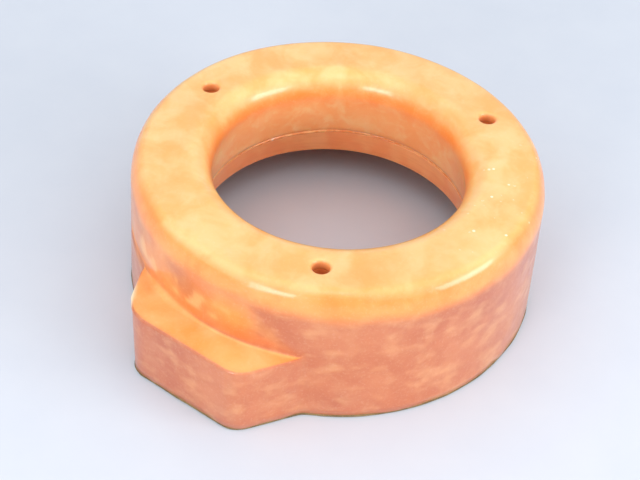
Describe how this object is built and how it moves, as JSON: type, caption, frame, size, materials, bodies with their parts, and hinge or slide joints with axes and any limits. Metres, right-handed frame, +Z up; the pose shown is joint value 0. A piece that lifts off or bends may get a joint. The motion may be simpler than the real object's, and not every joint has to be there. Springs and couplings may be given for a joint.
{
  "type": "toilet flange",
  "caption": "Hollow resin ring that raises a toilet's floor flange, with a wide flared bore, a rounded flat top with screw holes, and a trapezoid lug on one side.",
  "frame": {"origin": "centre of the bounding box's underside, on the floor", "axes": "+Z up along the bore, +Y away from the lug and +X to the right when looking from the lug; the bore's axis stands at x 0, y +0.0071"},
  "size_m": [0.1778, 0.192, 0.0646],
  "materials": {
    "moulded_resin": "orange casting resin, satin, softly mottled",
    "collar_resin": "darker orange casting resin, smooth satin",
    "laminating_resin": "amber laminating resin, glossy, brushed on",
    "glass_mat": "resin-soaked glass mat, fibrous, dull",
    "brass": "drawn tube, lightly tarnished",
    "gasket_foam": "closed-cell foam, matte tan"
  },
  "bodies": {
    "root": {"shell_moulding": "moulded_resin", "collar_ring": "collar_resin", "seam_bead": "laminating_resin", "joint_strap": "glass_mat", "base_gasket": "gasket_foam", "spacer_tube_1": "brass", "spacer_tube_2": "brass", "spacer_tube_3": "brass", "tube_boss_1": "laminating_resin", "tube_boss_2": "laminating_resin", "tube_boss_3": "laminating_resin", "tube_saddle_1": "laminating_resin", "tube_saddle_2": "laminating_resin", "tube_saddle_3": "laminating_resin"}
  },
  "joints": []
}
